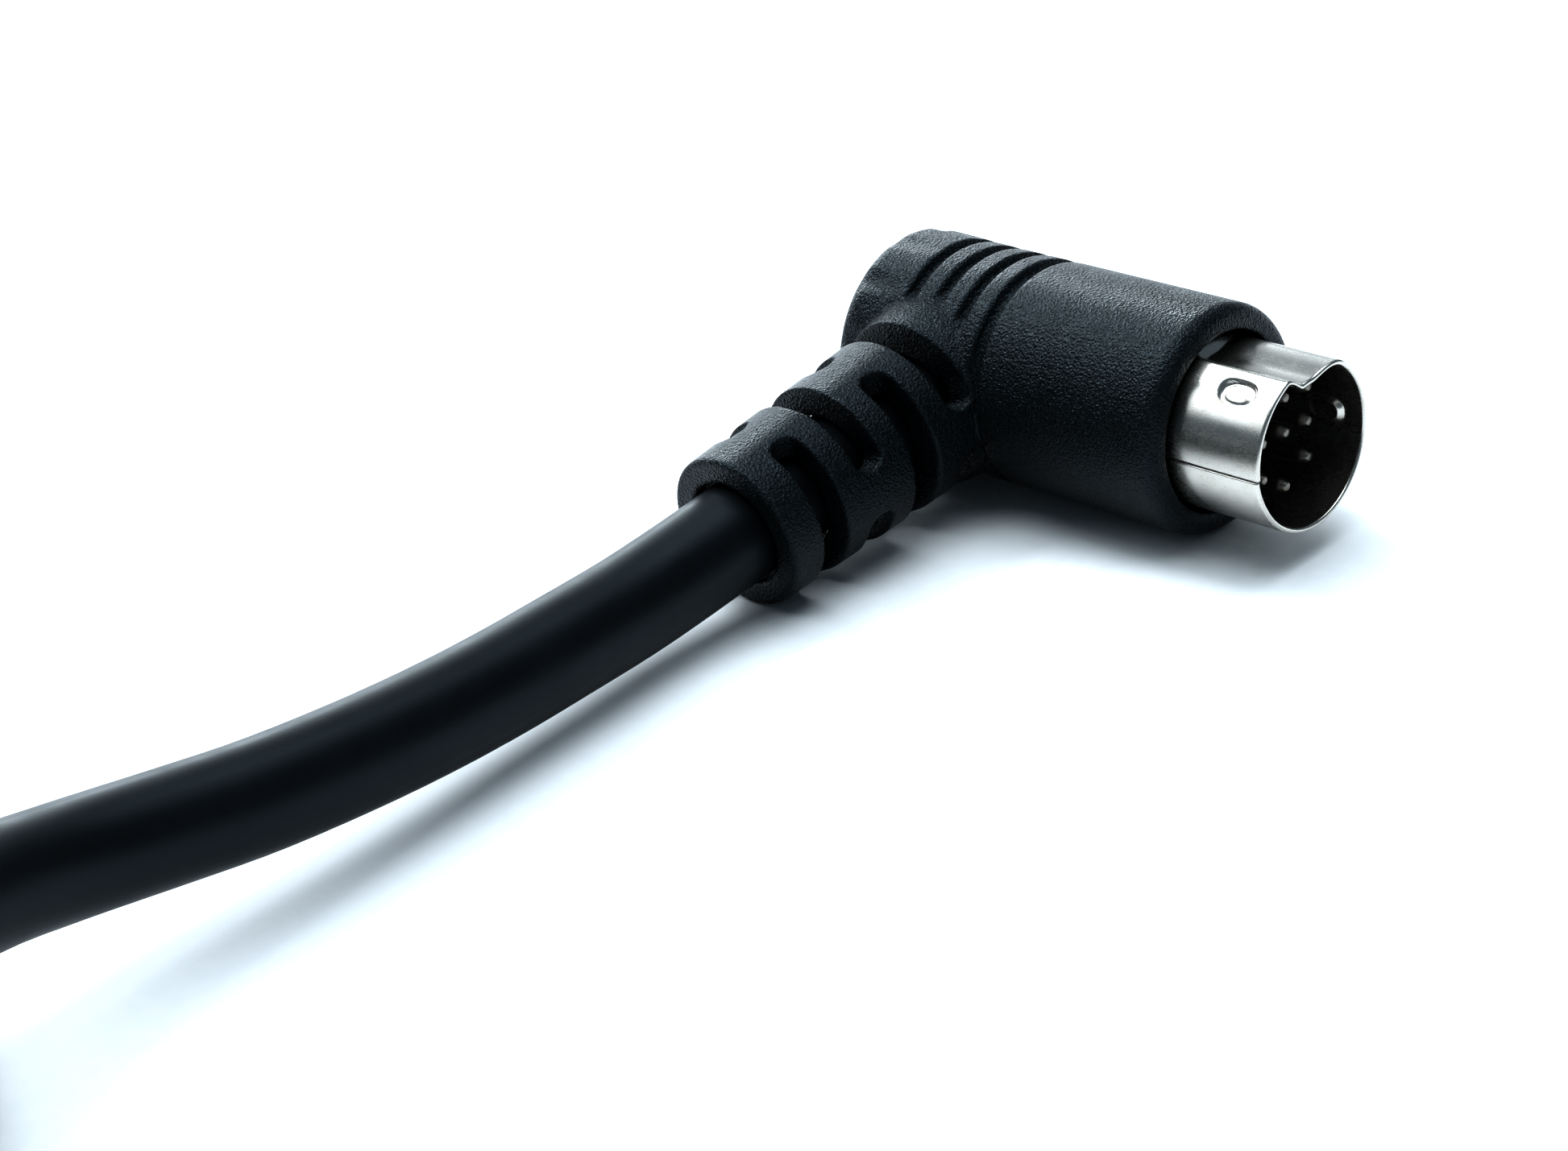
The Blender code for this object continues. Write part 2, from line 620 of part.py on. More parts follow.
def tie_mesh(centre):
    """A strap round the coil's four strands on its +X side: a rounded ring, as wide as the strap."""
    bow = TIE_WIDTH / 2 * math.tan(math.pi / LOOP_POINTS)
    half_wide = (COIL_PITCH + CABLE_DIAMETER + bow) / 2 + CLEARANCE
    half_high = (HIGH_LEVEL - LOW_LEVEL + CABLE_DIAMETER) / 2 + CLEARANCE
    curve = bpy.data.curves.new("tie", "CURVE")
    curve.dimensions = "2D"
    curve.fill_mode = "BOTH"
    curve.extrude = TIE_WIDTH / 2
    for grow in (TIE_THICKNESS, 0.0):
        corner = TIE_CORNER + grow
        outline = []
        for quarter, (sx, sy) in enumerate(((1, 1), (-1, 1), (-1, -1), (1, -1))):
            for a in np.linspace(0, math.pi / 2, ROUND_STEPS + 1) + quarter * math.pi / 2:
                outline.append((sx * (half_wide - TIE_CORNER) + corner * math.cos(a),
                                sy * (half_high - TIE_CORNER) + corner * math.sin(a)))
        spline = curve.splines.new("POLY")
        spline.points.add(len(outline) - 1)
        for point, (x, y) in zip(spline.points, outline):
            point.co = (x, y, 0.0, 1.0)
        spline.use_cyclic_u = True
    obj = place("tie", curve, CUTTERS)
    middle = (centre[0] + COIL_OUTER_RADIUS - (COIL_PITCH + bow) / 2, centre[1],
              (HIGH_LEVEL + LOW_LEVEL) / 2)
    obj.matrix_world = Matrix.Translation(middle) @ ALONG_CABLE
    return baked(obj)


def lead_route(place_matrix):
    """The straight start of a cable in one plug: the jacket's end, the boot's mouth and a little past it."""
    past = BOOT_LENGTH + CABLE_DIAMETER
    stations = (JACKET_END, BOOT_LENGTH / 2, BOOT_LENGTH, past)
    return [place_matrix @ Vector((0, -along, 0)) for along in stations]


def build():
    """Make both plugs, the cable between them and its tie."""
    pieces = plug_pieces()
    near = plug_place(ELBOW, 0.0)
    floor = Vector((ELBOW.x, ELBOW.y, 0.0))
    centre = (ELBOW.x + COIL_CENTRE[0], ELBOW.y + COIL_CENTRE[1])
    far_elbow = Vector((centre[0] - COIL_OUTER_RADIUS + COIL_PITCH / 2,
                        centre[1] + BOOT_LENGTH * math.cos(DROOP),
                        HIGH_LEVEL + CABLE_RADIUS + CLEARANCE + AXIS_HEIGHT))
    far = plug_place(far_elbow, 0.0)
    set_down("near", pieces, near)
    set_down("far", pieces, far)

    jacket = material("black_cable_jacket", "141519", 0.45)
    steps = round((FAR_LEAD_TURN - COIL_START) * LOOP_POINTS)
    course = coil_course(np.linspace(COIL_START, FAR_LEAD_TURN, steps + 1), centre)
    split = round((COIL_END - COIL_START) * LOOP_POINTS)
    onward = course[split + 1] - course[split]
    coil_end = course[split] + onward / 2
    coil = np.vstack([course[:split + 1], coil_end])
    climb = np.vstack([coil_end + onward * CLEARANCE / np.linalg.norm(onward), course[split + 1:]])
    meeting = coil_course(COIL_START - JOIN_TURN - np.array((SETTLE_TURN, 0.0)), centre)
    near_route = lead_route(near) + [floor + Vector(p) for p in NEAR_ROUTE] + [Vector(p) for p in meeting]
    near_line = smooth_points(near_route, LEAD_STEP)
    into_boot = smooth_points([Vector(climb[-1])] + lead_route(far)[2::-1], LEAD_STEP)
    far_line = np.vstack([climb, into_boot[1:]])
    place("near_cable_lead", tube("near_lead", near_line, CABLE_RADIUS, LEAD_BEVEL_STEPS), PARTS, jacket)
    place("cable_coil", tube("coil", coil, CABLE_RADIUS, COIL_BEVEL_STEPS), PARTS, jacket)
    place("far_cable_lead", tube("far_lead", far_line, CABLE_RADIUS, LEAD_BEVEL_STEPS), PARTS, jacket)
    place("coil_tie", tie_mesh(centre), PARTS, material("black_nylon_strap", "202124", 0.7))

    lengths = [np.linalg.norm(np.diff(line, axis=0), axis=1).sum() for line in (near_line, coil, far_line)]
    print("cable length in metres:", round(sum(lengths), 4), [round(float(v), 4) for v in lengths])
    cable = np.vstack([near_line, coil, far_line])
    print("least gap of the cable to itself in mm:", round(float(least_gap(cable)) * 1000, 3))
    print("far elbow in mm:", [round(v * 1000, 3) for v in far_elbow])
    print("roll onto the boot in degrees:", round(math.degrees(DROOP), 3))


PARTS, CUTTERS = start_scene()
build()
for part in PARTS.objects:
    if part.type == "MESH":
        part.data.shade_smooth()
        part.data.set_sharp_from_angle(angle=SHARP_ANGLE)
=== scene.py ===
# %% [markdown]
# # Right-angle round plug on a cable
#
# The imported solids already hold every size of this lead. This lesson dresses them: it makes finer surfaces for the
# pieces that show, gives each one the finish of its real material, and lights the plug as a small studio would.
# Everything is worked out in millimetres in the plug's own frame, whose origin is the elbow where the plug's axis
# (+X) meets the cable's axis (-Y), and is then set down in the model in metres.

import math

import bmesh
import bpy
import numpy as np
from mathutils import Matrix, Vector


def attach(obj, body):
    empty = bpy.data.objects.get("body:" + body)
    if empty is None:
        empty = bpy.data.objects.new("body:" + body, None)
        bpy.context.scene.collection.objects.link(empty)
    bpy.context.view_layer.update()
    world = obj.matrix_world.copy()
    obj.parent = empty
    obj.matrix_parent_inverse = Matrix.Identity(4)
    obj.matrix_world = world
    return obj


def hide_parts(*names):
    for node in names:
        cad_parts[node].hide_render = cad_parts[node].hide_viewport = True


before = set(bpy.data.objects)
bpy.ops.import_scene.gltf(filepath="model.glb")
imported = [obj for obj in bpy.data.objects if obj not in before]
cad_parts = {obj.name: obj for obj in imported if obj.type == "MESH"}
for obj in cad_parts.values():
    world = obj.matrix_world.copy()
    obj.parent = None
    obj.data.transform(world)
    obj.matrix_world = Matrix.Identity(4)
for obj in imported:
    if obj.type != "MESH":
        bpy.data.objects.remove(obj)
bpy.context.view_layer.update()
print("nodes in the frame:", len(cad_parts))

# %% [markdown]
# ## Where the two plugs lie
#
# A round plug with a side cable never lies level: it rolls until the lower edge of the boot's mouth meets the
# table. That roll follows from three sizes, so it is worked out here just as in the part's source. The far plug lies
# on the cable's coil and faces the same way.

# %% Sizes shared with the solids, and the plugs' places
MM = 0.001
BODY_RADIUS = 6.4
REAR_RADIUS = 6.5
REAR_END = -5.7
FRONT_FACE = 17.25
SHELL_RADIUS = 4.75
SHELL_WALL = 0.3
SHELL_TIP = 23.0
SHELL_REAR = 10.85
BOOT_LENGTH = 20.6
MOUTH_RADIUS = 4.45
ROOT_RADIUS = 5.0
CABLE_RADIUS = 2.8
BORE_RADIUS = 3.05
JACKET_END = 3.2

droop = math.asin(REAR_RADIUS / math.hypot(BOOT_LENGTH, MOUTH_RADIUS)) - math.atan2(MOUTH_RADIUS, BOOT_LENGTH)
box_front = BOOT_LENGTH * math.cos(droop) + MOUTH_RADIUS * math.sin(droop)
near_elbow = np.array(((-REAR_END - SHELL_TIP) / 2, (box_front - REAR_RADIUS) / 2, REAR_RADIUS))


def plug_place(elbow, facing):
    """Matrix from a plug's millimetres to the model's metres: scale, roll onto the boot, facing, then place."""
    turn = Matrix.Rotation(facing, 4, "Z") @ Matrix.Rotation(droop, 4, "X")
    return Matrix.Translation(Vector(elbow * MM)) @ turn @ Matrix.Scale(MM, 4)


def moved(matrix, points):
    """Every point times a 4 by 4 matrix."""
    m = np.array(matrix)
    return points @ m[:3, :3].T + m[:3, 3]


near_place = plug_place(near_elbow, 0.0)
print("roll of the plug in degrees:", round(math.degrees(droop), 3))

# %% [markdown]
# ## The camera
#
# The photograph's view was found by fitting a pinhole camera to edges of the plug: the shell's rim, the body's
# front, the grooves and the boot. The fit gives the direction of view, a slight roll and a lens of about 77 mm. The
# plug sits right of the middle, so the picture's centre isn't on the elbow.

# %% Camera
AZIMUTH, ELEVATION, ROLL = (math.radians(v) for v in (48.12, 27.52, -8.04))
FOCAL_PIXELS = 4144.48
IMAGE_WIDTH = 1946
ELBOW_PIXELS = (247.852, 272.331)
DISTANCE = 189.459

back = np.array((math.sin(AZIMUTH) * math.cos(ELEVATION), -math.cos(AZIMUTH) * math.cos(ELEVATION),
                 math.sin(ELEVATION)))
level = np.array((math.cos(AZIMUTH), math.sin(AZIMUTH), 0.0))
upright = np.cross(back, level)
right = math.cos(ROLL) * level + math.sin(ROLL) * upright
up = math.cos(ROLL) * upright - math.sin(ROLL) * level
eye = near_elbow + DISTANCE * (back - ELBOW_PIXELS[0] / FOCAL_PIXELS * right - ELBOW_PIXELS[1] / FOCAL_PIXELS * up)

camera = bpy.data.objects.new("camera", bpy.data.cameras.new("camera"))
bpy.context.scene.collection.objects.link(camera)
camera.data.sensor_width = 36.0
camera.data.lens = FOCAL_PIXELS / IMAGE_WIDTH * camera.data.sensor_width
camera.data.clip_start = 0.01
axes = np.eye(4)
axes[:3, :3] = np.stack([right, up, back], axis=1)
axes[:3, 3] = eye * MM
camera.matrix_world = Matrix(axes.tolist())
bpy.context.scene.camera = camera
print("camera at", [round(float(v), 1) for v in eye], "mm, lens", round(camera.data.lens, 2), "mm")

# %% [markdown]
# ## The cable's route
#
# The cable leaves the boot along its axis, rests on the table, rises a little towards the edge of the picture, and
# then goes round in a tied coil, out of sight, before it climbs onto the coil and into the far plug. The points are
# those of the part's source. A Catmull-Rom curve passes through every point with no corner, which is how a stiff
# cable bends.

# %% Route of the cable
COIL_OUTER_RADIUS = 37.9
COIL_PITCH = 2 * CABLE_RADIUS + 0.6
LEVEL_STEP = 2 * CABLE_RADIUS + 0.5
STRAP_THICKNESS = 0.6
STRAP_WIDTH = 8.0
CLEARANCE = 0.3
LOW_LEVEL = STRAP_THICKNESS + CLEARANCE + CABLE_RADIUS
HIGH_LEVEL = LOW_LEVEL + LEVEL_STEP
LOOP_STEPS = 48
coil_centre = near_elbow[:2] + np.array((-18.0, -107.5))
NEAR_ROUTE = np.array(((0.3, -31.0, 3.9), (0.7, -38.5, 4.1), (1.0, -46.0, 4.7), (0.8, -54.0, 5.6),
                       (0.2, -62.0, 6.9), (1.2, -69.0, 8.6), (4.0, -75.4, 9.75)))


def eased(value, low, high):
    """0 below low, 1 above high, and 3 s^2 - 2 s^3 of the share s between them."""
    share = np.clip((value - low) / (high - low), 0, 1)
    return share * share * (3 - 2 * share)


def smooth_line(route, spacing):
    """Points about evenly spaced on the Catmull-Rom curve through a route.

    Between p1 and p2 the curve is half of 2 p1 + (p2 - p0) t + (2 p0 - 5 p1 + 4 p2 - p3) t^2
    + (3 p1 - p0 - 3 p2 + p3) t^3.
    """
    ends = np.vstack([2 * route[0] - route[1], route, 2 * route[-1] - route[-2]])
    p0, p1, p2, p3 = (ends[i:len(ends) - 3 + i, None, :] for i in range(4))
    t = np.linspace(0, 1, 20, endpoint=False)[None, :, None]
    dense = 0.5 * (2 * p1 + (p2 - p0) * t + (2 * p0 - 5 * p1 + 4 * p2 - p3) * t ** 2
                   + (3 * p1 - p0 - 3 * p2 + p3) * t ** 3)
    dense = np.vstack([dense.reshape(-1, 3), route[-1:]])
    along = np.concatenate(([0.0], np.cumsum(np.linalg.norm(np.diff(dense, axis=0), axis=1))))
    wanted = np.linspace(0, along[-1], max(2, round(along[-1] / spacing) + 1))
    return np.stack([np.interp(wanted, along, dense[:, k]) for k in range(3)], axis=-1)


def coil_course(turns):
    """Places round the coil, clockwise from its +X side.

    The order is the outer turn above, the outer below, the inner below, the inner above and the top. Each change
    of radius or level is an eased step over about a quarter of a turn, set so that no strand meets another.
    """
    radius = COIL_OUTER_RADIUS - COIL_PITCH * (eased(turns, 1.30, 1.55) - eased(turns, 3.25, 3.475) / 2)
    rise = eased(turns, 2.06, 2.29) + eased(turns, 3.03, 3.25) - eased(turns, 0.575, 0.825)
    a = 2 * math.pi * turns
    return np.stack([coil_centre[0] + radius * np.cos(a), coil_centre[1] - radius * np.sin(a),
                     HIGH_LEVEL + LEVEL_STEP * rise], axis=-1)


coil = coil_course(np.arange(-LOOP_STEPS // 8, 3 * LOOP_STEPS + 21) / LOOP_STEPS)
far_elbow = np.array((coil_centre[0] - COIL_OUTER_RADIUS + COIL_PITCH / 2,
                      coil_centre[1] + BOOT_LENGTH * math.cos(droop),
                      HIGH_LEVEL + CABLE_RADIUS + CLEARANCE + REAR_RADIUS))
far_place = plug_place(far_elbow, 0.0)
inside_boot = np.array([(0.0, -along, 0.0) for along in
                        (JACKET_END, BOOT_LENGTH / 2, BOOT_LENGTH, BOOT_LENGTH + 2 * CABLE_RADIUS)])
near_floor = near_elbow * np.array((1, 1, 0))
near_part = np.vstack([moved(near_place, inside_boot) / MM, near_floor + NEAR_ROUTE, coil[0]])
far_part = np.vstack([coil[-1], (moved(far_place, inside_boot) / MM)[2::-1]])
cable_route = np.vstack([smooth_line(near_part, 5.0), coil[1:], smooth_line(far_part, 5.0)[1:]])
cable_line = smooth_line(cable_route, 1.5)

# %% [markdown]
# ## Making a mesh from arrays
#
# Two small helpers carry all the shapes below. One puts points and faces into a mesh and an object. The other joins
# a grid of points into four-sided faces, and can close the grid in either direction, as a tube needs.


# %% Mesh helpers
def grid_faces(rows, columns, wrap_rows=False, wrap_columns=False):
    """Corner numbers of the four-sided faces of a grid that is stored row after row."""
    i = np.arange(rows if wrap_rows else rows - 1)[:, None]
    j = np.arange(columns if wrap_columns else columns - 1)[None, :]
    i_next, j_next = (i + 1) % rows, (j + 1) % columns
    corners = (i * columns + j, i * columns + j_next, i_next * columns + j_next, i_next * columns + j)
    return np.stack(np.broadcast_arrays(*corners), axis=-1).reshape(-1, 4)


def mesh_piece(name, points, faces, look, uv=None, weld=True):
    """A smooth-shaded mesh of four-sided faces, given in metres in the model's frame, that rides on the part.

    A map of surface places, one for each point, goes with it where a pattern follows the surface. Welding closes
    the seams and poles of a grid and turns its faces outwards.
    """
    mesh = bpy.data.meshes.new(name)
    mesh.vertices.add(len(points))
    mesh.vertices.foreach_set("co", points.astype(np.float32).ravel())
    mesh.loops.add(faces.size)
    mesh.loops.foreach_set("vertex_index", faces.astype(np.int32).ravel())
    mesh.polygons.add(len(faces))
    mesh.polygons.foreach_set("loop_start", np.arange(0, faces.size, 4, dtype=np.int32))
    mesh.update(calc_edges=True)
    if uv is not None:
        mesh.uv_layers.new(name="surface").uv.foreach_set("vector", uv[faces.ravel()].astype(np.float32).ravel())
    if weld:
        work = bmesh.new()
        work.from_mesh(mesh)
        bmesh.ops.remove_doubles(work, verts=work.verts, dist=1e-7)
        bmesh.ops.recalc_face_normals(work, faces=work.faces)
        work.to_mesh(mesh)
        work.free()
    mesh.shade_smooth()
    mesh.materials.append(look)
    piece = bpy.data.objects.new(name, mesh)
    bpy.context.scene.collection.objects.link(piece)
    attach(piece, "root")
    print(name, len(points), "points,", 2 * len(faces), "triangles")
    return piece


# %% [markdown]
# ## Node materials
#
# Each finish below is a small tree of nodes. One function adds a node with its settings and its links, so a tree
# reads as a list of what it holds. Colours are written as sRGB hex, as a paint chart gives them, and turned to the
# linear values that light is worked out in.

# %% Material helpers
def linear(hex_colour):
    """sRGB hex to linear: below 0.04045 divide by 12.92, above it ((v + 0.055) / 1.055) to the power 2.4."""
    values = np.array([int(hex_colour[i:i + 2], 16) for i in (0, 2, 4)]) / 255
    return (*np.where(values <= 0.04045, values / 12.92, ((values + 0.055) / 1.055) ** 2.4), 1.0)


def new_material(name, hex_colour):
    """An empty node material with its Principled shader, and the colour that the viewport shows."""
    made = bpy.data.materials.new(name)
    made.use_nodes = True
    made.diffuse_color = linear(hex_colour)
    return made, made.node_tree.nodes["Principled BSDF"]


def add_node(made, kind, settings=None, **links):
    """Add a node. Settings are its own values; each link is a socket's value, or a node output to link to it.

    A socket is given by its name, or as n and its number where names repeat.
    """
    node = made.node_tree.nodes.new(kind)
    for key, value in (settings or {}).items():
        setattr(node, key, value)
    for key, value in links.items():
        numbered = key[0] == "n" and key[1:].isdigit()
        socket = node.inputs[int(key[1:]) if numbered else key.replace("_", " ")]
        if isinstance(value, bpy.types.NodeSocket):
            made.node_tree.links.new(value, socket)
        else:
            socket.default_value = value
    return node


print("material helpers ready")

# %% [markdown]
# ## Black moulded PVC
#
# The grip is soft PVC moulded in a tool that was spark-eroded, so its skin has a fine pebbled grain about a fifth
# of a millimetre across. The grain breaks each highlight into small glints, and rubbed places are a little smoother.
# A photograph's texture would do, but noise on Object coordinates has no seams and keeps its real size on both plugs.

# %% Finish of the grip
SHEEN = "d6f0ff"
GRAIN = 0.2
GRAIN_DEPTH = 0.125


def moulded_pvc():
    """Pebbled grain as bump, a softer unevenness under it, and roughness that follows both."""
    made, shader = new_material("black_pvc_spark_eroded", "0a0c0f")
    where = add_node(made, "ShaderNodeTexCoord").outputs["Object"]
    pebbles = add_node(made, "ShaderNodeTexVoronoi", {"feature": "SMOOTH_F1"}, Vector=where,
                       Scale=1.3 / (GRAIN * MM), Smoothness=0.3, Randomness=1.0)
    wrinkles = add_node(made, "ShaderNodeTexNoise", Vector=where, Scale=1.6 / (GRAIN * MM), Detail=1.0,
                        Roughness=0.5, Distortion=0.6)
    relief = add_node(made, "ShaderNodeMix", {"data_type": "FLOAT"}, n0=0.6, n2=pebbles.outputs["Distance"],
                      n3=wrinkles.outputs["Fac"])
    bump = add_node(made, "ShaderNodeBump", Strength=1.0, Distance=GRAIN_DEPTH * MM,
                    Height=relief.outputs[0])
    rubbed = add_node(made, "ShaderNodeTexNoise", Vector=where, Scale=1 / (5.0 * MM), Detail=3.0)
    tint = add_node(made, "ShaderNodeMix", {"data_type": "RGBA"}, n0=rubbed.outputs["Fac"],
                    n6=linear("05090b"), n7=linear("0b1114"))
    gloss = add_node(made, "ShaderNodeMapRange", Value=rubbed.outputs["Fac"], From_Min=0.3, From_Max=0.7,
                     To_Min=0.26, To_Max=0.38)
    made.node_tree.links.new(tint.outputs[2], shader.inputs["Base Color"])
    made.node_tree.links.new(gloss.outputs[0], shader.inputs["Roughness"])
    made.node_tree.links.new(bump.outputs[0], shader.inputs["Normal"])
    shader.inputs["Specular IOR Level"].default_value = 0.25
    shader.inputs["Specular Tint"].default_value = linear(SHEEN)
    return made


grip_finish = moulded_pvc()
print("grip grain", GRAIN, "mm across")

# %% [markdown]
# ## The overmould: body and boot in one moulding
#
# The body is round, with four grooves and a scalloped rear end. The boot leaves it at a right angle and is cut by
# four rows of slots that stand crosswise, so that it bends evenly. Grids can't have slots through them, and cutters
# leave hard edges that a mould never has. So the shape is written as a distance: a formula that says, for any point,
# how far it is from the moulding's skin. Formulas join and cut with rounded edges, as the mould does. A net of points
# is then drawn over the place where the distance is zero.

# %% The moulding as a distance
GROOVES = ((-1.3, 0.36), (0.7, 0.36), (2.7, 0.36), (4.7, 0.42))
GROOVE_DEPTH = 0.5
FLUTE_RADIUS = 1.4
FLUTE_DEPTH = 0.3
FLUTE_RUN = 3.7
SLOT_ROWS = (6.8, 10.35, 13.9, 17.45)
SLOT_HALF_WIDTH = 0.93
SLOT_HALF_ANGLE = math.radians(73)
ROOT_FLARE = 0.45
FLARE_END, FLARE_START = 3.7, 6.6
TAPER_START = 6.05
FRONT_EDGE, REAR_EDGE, GROOVE_EDGE, FLUTE_EDGE = 0.9, 1.1, 0.16, 0.2
LIP_EDGE, SLOT_EDGE, ROOT_FILLET, BORE_EDGE = 0.3, 0.09, 0.06, 0.1
REAR_WALL = 0.8
SEAT_ROOM, SEAT_END = 0.6, 5.5


def both(a, b, radius):
    """Where two distances overlap, with a convex edge rounded to a radius: the length of what stands over it."""
    return np.minimum(np.maximum(a, b), -radius) + np.hypot(np.maximum(a + radius, 0), np.maximum(b + radius, 0))


def either(a, b, radius):
    """Either of two distances, with a concave fillet of a radius between them."""
    return np.maximum(np.minimum(a, b), radius) - np.hypot(np.maximum(radius - a, 0), np.maximum(radius - b, 0))


def body_distance(x, around, angle):
    """The round body: radius and ends with rounded edges, less four oval grooves and twelve sloping flutes."""
    rise = np.clip((1.0 - x) / 6.0, 0, 1)
    skin = around - (BODY_RADIUS + (REAR_RADIUS - BODY_RADIUS) * rise * rise * (3 - 2 * rise))
    solid = both(both(skin, x - FRONT_FACE, FRONT_EDGE), REAR_END - x, REAR_EDGE)
    for place, half in GROOVES:
        groove = (1 - np.hypot((x - place) / half, skin / GROOVE_DEPTH)) * half
        solid = both(solid, groove, GROOVE_EDGE)
    from_flute = np.mod(angle + math.pi / 12, math.pi / 6) - math.pi / 12
    lift = REAR_RADIUS + FLUTE_RADIUS - FLUTE_DEPTH + (x - REAR_END) * FLUTE_DEPTH / FLUTE_RUN
    flute = FLUTE_RADIUS - np.hypot(around * np.sin(from_flute), around * np.cos(from_flute) - lift)
    return both(solid, flute, FLUTE_EDGE)


def boot_distance(along, around):
    """The boot: a taper from root to mouth, with a rounded lip and a root that spreads into the body."""
    share = np.clip((along - TAPER_START) / (BOOT_LENGTH - TAPER_START), 0, 1)
    skin = around - ROOT_RADIUS - (MOUTH_RADIUS - ROOT_RADIUS) * share
    skin = skin - ROOT_FLARE * eased(-along, -FLARE_START, -FLARE_END)
    return np.maximum(both(skin, along - BOOT_LENGTH, LIP_EDGE), -along)


def slot_distance(along, around, angle):
    """The nearest slot: half its width less the distance from its middle line, in rows that cross by turns."""
    nearest = np.full_like(along, -1e3)
    for row, place in enumerate(SLOT_ROWS):
        turned = angle + (math.pi / 2 if row % 2 == 0 else 0.0)
        from_middle = np.abs(np.mod(turned + math.pi / 2, math.pi) - math.pi / 2)
        past_end = np.maximum(from_middle - SLOT_HALF_ANGLE + SLOT_HALF_WIDTH / ROOT_RADIUS, 0) * ROOT_RADIUS
        nearest = np.maximum(nearest, SLOT_HALF_WIDTH - np.hypot(past_end, along - place))
    return np.where(around > 0.8 * BORE_RADIUS, nearest, -1.0)


def overmould_distance(points):
    """Body or boot, less the slots, and less the room for the shell, the joints and the cable."""
    x, y, z = points[..., 0], points[..., 1], points[..., 2]
    round_plug, round_cable = np.hypot(y, z), np.hypot(x, z)
    solid = body_distance(x, round_plug, np.arctan2(z, y))
    boot = boot_distance(-y, round_cable)
    boot = both(boot, slot_distance(-y, round_cable, np.arctan2(z, x)), SLOT_EDGE)
    solid = either(solid, boot, ROOT_FILLET)
    cavity = np.maximum(round_plug - SHELL_RADIUS - CLEARANCE, REAR_END + REAR_WALL - x)
    bore = np.maximum(round_cable - BORE_RADIUS, y)
    seat = np.maximum(np.maximum(round_cable - BORE_RADIUS - SEAT_ROOM, y), -y - SEAT_END)
    return both(solid, -np.minimum(np.minimum(cavity, bore), seat), BORE_EDGE)


# %% [markdown]
# Drawing the net: the distance is worked out on a fine lattice. Every small cube whose corners lie on both sides of
# the skin gets one point, the mean of the places where its edges cross. Each lattice edge that crosses the skin gets
# one four-sided face, through the points of the four cubes round it. Last, every point slides down the slope of the
# distance onto the skin itself, so the net is smooth and not stepped.

# %% Net over the moulding
NET_STEP = 0.17
NET_MARGIN = 0.4


def skin_net(distance, low, high, step):
    """Points and outward faces of the surface where a distance is zero, inside a box, on a lattice of a step."""
    ticks = [np.arange(a, b + step, step) for a, b in zip(low, high)]
    lattice = np.stack(np.meshgrid(*ticks, indexing="ij"), axis=-1)
    value = distance(lattice)
    cells = tuple(n - 1 for n in value.shape)
    total, count = np.zeros((*cells, 3)), np.zeros(cells)
    crossings = []
    for axis in range(3):
        first = [slice(None)] * 3
        second = [slice(None)] * 3
        first[axis], second[axis] = slice(0, -1), slice(1, None)
        a, b = value[tuple(first)], value[tuple(second)]
        where = np.argwhere((a < 0) != (b < 0))
        u, v = (axis + 1) % 3, (axis + 2) % 3
        inner = np.all([(where[:, k] > 0) & (where[:, k] < cells[k]) for k in (u, v)], axis=0)
        where = where[inner]
        index = tuple(where.T)
        start = lattice[index]
        start[:, axis] += step * a[index] / (a[index] - b[index])
        corner = np.stack([where] * 4)
        for k, (du, dv) in enumerate(((0, 0), (1, 0), (1, 1), (0, 1))):
            corner[k, :, u] -= du
            corner[k, :, v] -= dv
            cell = tuple(corner[k].T)
            np.add.at(total, cell, start)
            np.add.at(count, cell, 1)
        crossings.append((corner, a[index] < 0))
    number = np.full(cells, -1)
    used = count > 0
    number[used] = np.arange(used.sum())
    points = total[used] / count[used][:, None]
    faces = []
    for corner, leaves in crossings:
        quad = np.stack([number[tuple(c.T)] for c in corner], axis=-1)
        faces.append(np.where(leaves[:, None], quad, quad[:, ::-1]))
    return points, np.vstack(faces)


def settled(distance, points, step):
    """Slide points onto the skin: each move is the distance over its slope, down the slope, at most half a step."""
    nudge = 0.01
    for _ in range(4):
        slope = np.stack([(distance(points + nudge * e) - distance(points - nudge * e)) / (2 * nudge)
                          for e in np.eye(3)], axis=-1)
        size = np.maximum((slope ** 2).sum(-1), 0.05)
        move = (distance(points) / size)[:, None] * slope
        length = np.linalg.norm(move, axis=-1, keepdims=True)
        points = points - move * np.minimum(1, 0.5 * step / np.maximum(length, 1e-9))
    return points


net_low = (REAR_END - NET_MARGIN, -BOOT_LENGTH - NET_MARGIN, -REAR_RADIUS - NET_MARGIN)
net_high = (FRONT_FACE + NET_MARGIN, REAR_RADIUS + NET_MARGIN, REAR_RADIUS + NET_MARGIN)
net_points, net_faces = skin_net(overmould_distance, net_low, net_high, NET_STEP)
net_points = settled(overmould_distance, net_points, NET_STEP)
near_overmould = mesh_piece("near_grip", moved(near_place, net_points), net_faces, grip_finish,
                            weld=False)
far_overmould = mesh_piece("far_grip", moved(far_place, net_points), net_faces, grip_finish,
                           weld=False)
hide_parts("near_overmould")
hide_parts("far_overmould")

# %% [markdown]
# ## Nickel-plated steel
#
# The shell is pressed from thin steel strip and plated with bright nickel. Strip is rolled, so its skin has faint
# short lines along its length, and handling leaves soft smudges. Both change the roughness far more than the colour,
# so they are drawn there, with lines half a tenth of a millimetre apart that run along the plug.

# %% Finish of the shell
STRIP_LINE = 0.05
SMUDGE = 1.6


